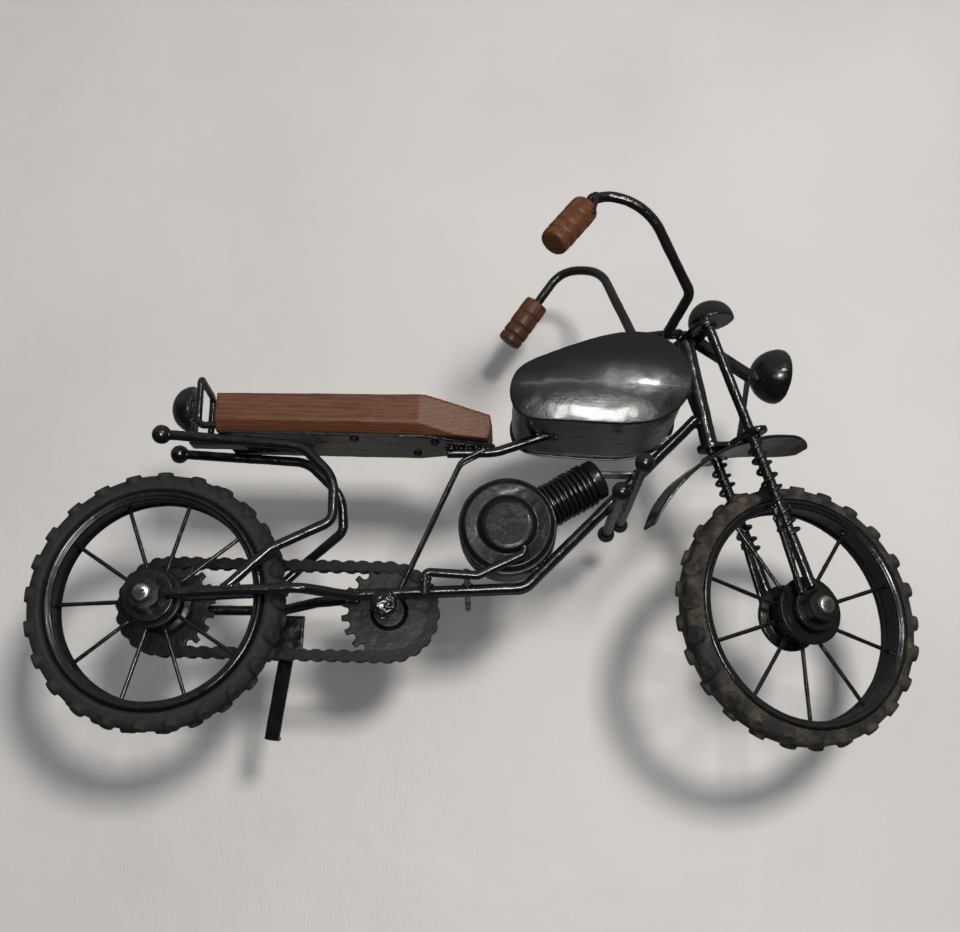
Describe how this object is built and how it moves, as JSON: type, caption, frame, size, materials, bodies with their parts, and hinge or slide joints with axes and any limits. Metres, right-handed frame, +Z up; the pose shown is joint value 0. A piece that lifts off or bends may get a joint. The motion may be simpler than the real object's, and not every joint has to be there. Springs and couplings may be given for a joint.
{
  "type": "model motorcycle",
  "caption": "Hand-welded iron-rod display motorcycle with a wooden seat and grips, knobbly rubber tyres, bush chain and a fork that steers.",
  "frame": {"origin": "on the ground under the middle of the rear tyre, on the bike's mid-plane", "axes": "+X towards the front wheel, +Y towards the rider's left, +Z up"},
  "size_m": [0.3993, 0.1376, 0.2468],
  "materials": {
    "enamel": "gloss",
    "blackened_steel": "satin",
    "bolt_steel": "satin",
    "chain_steel": "matte",
    "tread_rubber": "matte",
    "turned_wood": "satin"
  },
  "bodies": {
    "chassis": {"frame_rails": "enamel", "chain_stay_right": "enamel", "chain_stay_left": "enamel", "seat_stay_right": "enamel", "seat_stay_left": "enamel", "head_tube": "enamel", "backbone": "enamel", "sprocket_bush": "enamel", "seat_struts": "enamel", "foot_pegs": "enamel", "foot_lever": "enamel", "cross_pins": "enamel", "seat_board": "turned_wood", "seat_plate": "enamel", "seat_screws": "blackened_steel", "grab_loop": "enamel", "tail_lamp": "enamel", "lamp_bracket": "enamel", "tank_plates": "enamel", "tank_wall": "enamel", "crankcase": "enamel", "crankcase_covers": "enamel", "cylinder": "enamel", "cylinder_fins": "enamel", "cylinder_strap": "enamel", "rear_axle": "bolt_steel", "rear_nuts": "blackened_steel", "drive_chain": "chain_steel", "stand_bracket": "enamel", "stand_rivet": "blackened_steel"},
    "side_stand": {"stand_leg": "enamel"},
    "rear_wheel": {"rear_tyre": "tread_rubber", "rear_rim": "enamel", "rear_spokes": "enamel", "rear_hub": "enamel", "rear_sprocket": "blackened_steel"},
    "front_drive": {"front_sprocket": "blackened_steel", "sprocket_shaft": "blackened_steel", "shaft_cap": "enamel"},
    "fork": {"steering_stem": "blackened_steel", "upper_yoke": "enamel", "lower_yoke": "enamel", "fork_legs": "enamel", "fork_rods": "enamel", "fork_springs": "enamel", "front_axle": "bolt_steel", "front_nuts": "blackened_steel", "gauge": "enamel", "headlamp": "enamel", "headlamp_bar": "enamel", "headlamp_strap": "enamel", "front_fender": "enamel", "handlebar": "enamel", "grip_right": "turned_wood", "grip_left": "turned_wood", "brake_lever": "enamel"},
    "front_wheel": {"front_tyre": "tread_rubber", "front_rim": "enamel", "front_spokes": "enamel", "front_hub": "enamel"}
  },
  "joints": [
    {"name": "steering", "type": "hinge", "parent": "chassis", "child": "fork", "pos_m": [0.2426, 0, 0.1472], "axis": [-0.1908, 0, 0.9816], "range_deg": [-50, 10]},
    {"name": "front_wheel_spin", "type": "hinge", "parent": "fork", "child": "front_wheel", "pos_m": [0.28399, 0.0087, 0.05951], "axis": [-0.3357, 0.9397, -0.0653], "continuous": true},
    {"name": "rear_wheel_spin", "type": "hinge", "parent": "chassis", "child": "rear_wheel", "pos_m": [0, 0, 0.0572], "axis": [0, 1, 0], "continuous": true, "deforming": ["drive_chain"]},
    {"name": "front_sprocket_spin", "type": "hinge", "parent": "chassis", "child": "front_drive", "pos_m": [0.1016, 0.017, 0.0572], "axis": [0, 1, 0], "continuous": true},
    {"name": "side_stand_swing", "type": "hinge", "parent": "chassis", "child": "side_stand", "pos_m": [0.055, 0.0277, 0.0417], "axis": [0, 1, 0], "range_deg": [0, 70]}
  ],
  "couplings": [
    {"joint": "front_sprocket_spin", "follows": "rear_wheel_spin", "ratio": 1}
  ]
}
